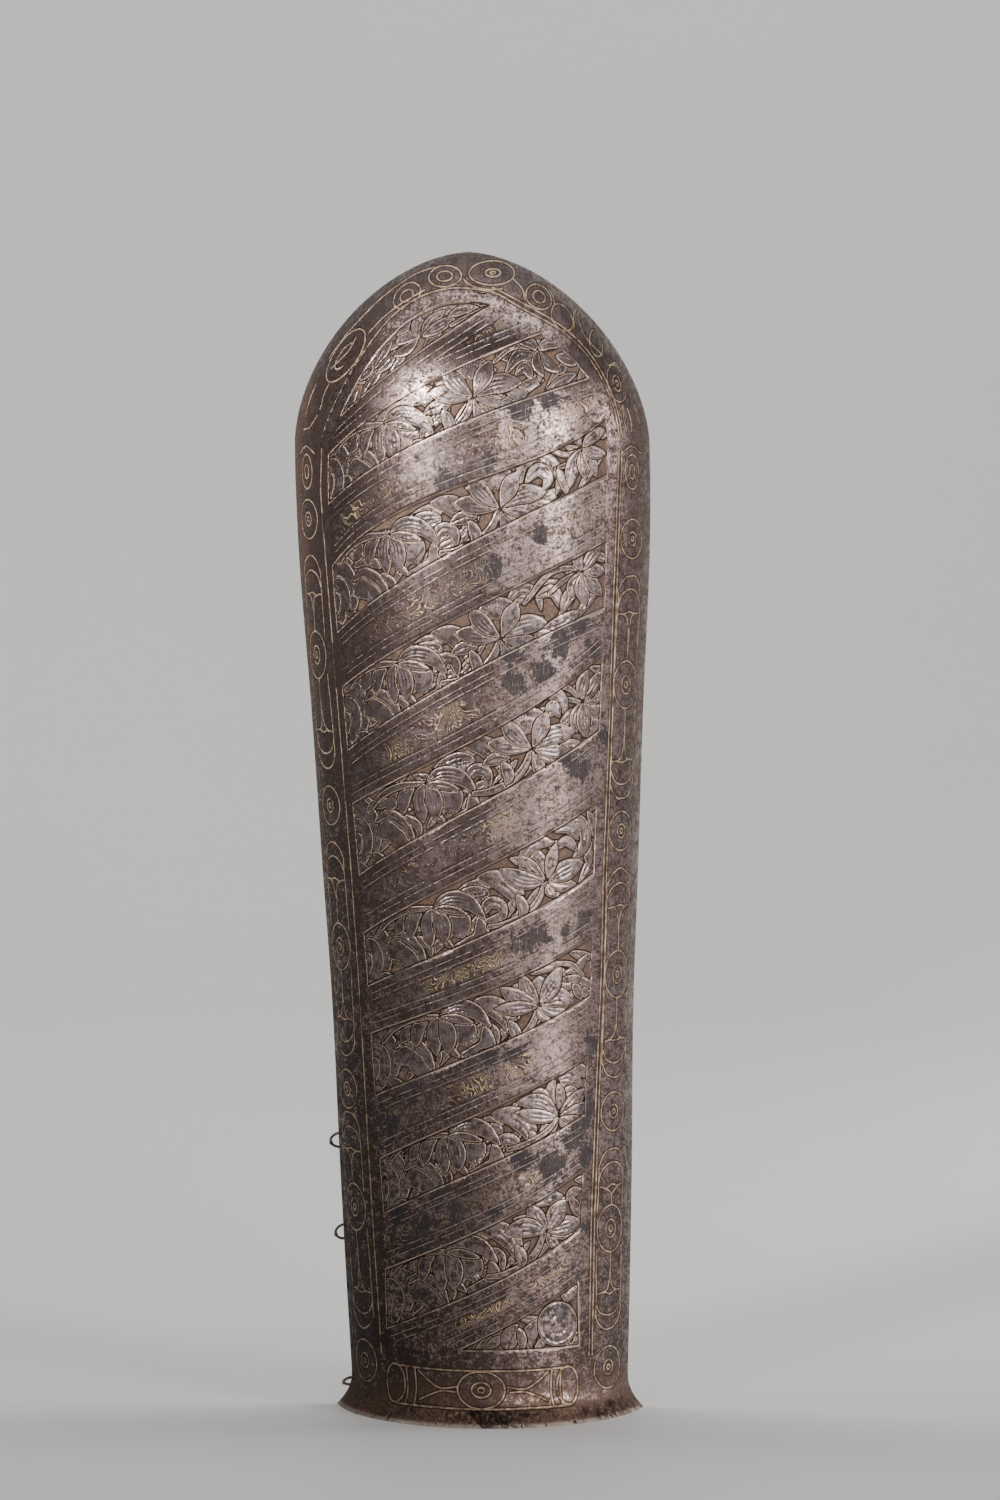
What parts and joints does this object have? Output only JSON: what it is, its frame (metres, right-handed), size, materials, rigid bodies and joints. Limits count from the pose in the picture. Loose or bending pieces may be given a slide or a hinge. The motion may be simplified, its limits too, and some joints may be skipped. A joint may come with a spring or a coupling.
{
  "type": "arm shield",
  "caption": "Steel forearm guard plate: a tapered gutter with a closed elbow dome, a flared wrist lip, edge holes for mail and stray mail rings.",
  "frame": {"origin": "middle of the plate's whole box at its lowest point, on the surface that the wrist lip stands on", "axes": "+Z from the wrist lip to the elbow dome, -Y towards the ridge of the plate, +Y towards the open side where the arm lies"},
  "size_m": [0.1042, 0.045, 0.34],
  "materials": {
    "plate_steel": "chiselled and engraved forged steel, worn grey with brown patina and rust in the recesses",
    "mail_iron": "dark oxidised iron wire"
  },
  "bodies": {
    "root": {"arm_plate": "plate_steel", "mail_ring_low": "mail_iron", "mail_ring_middle": "mail_iron", "mail_ring_high": "mail_iron"}
  },
  "joints": []
}
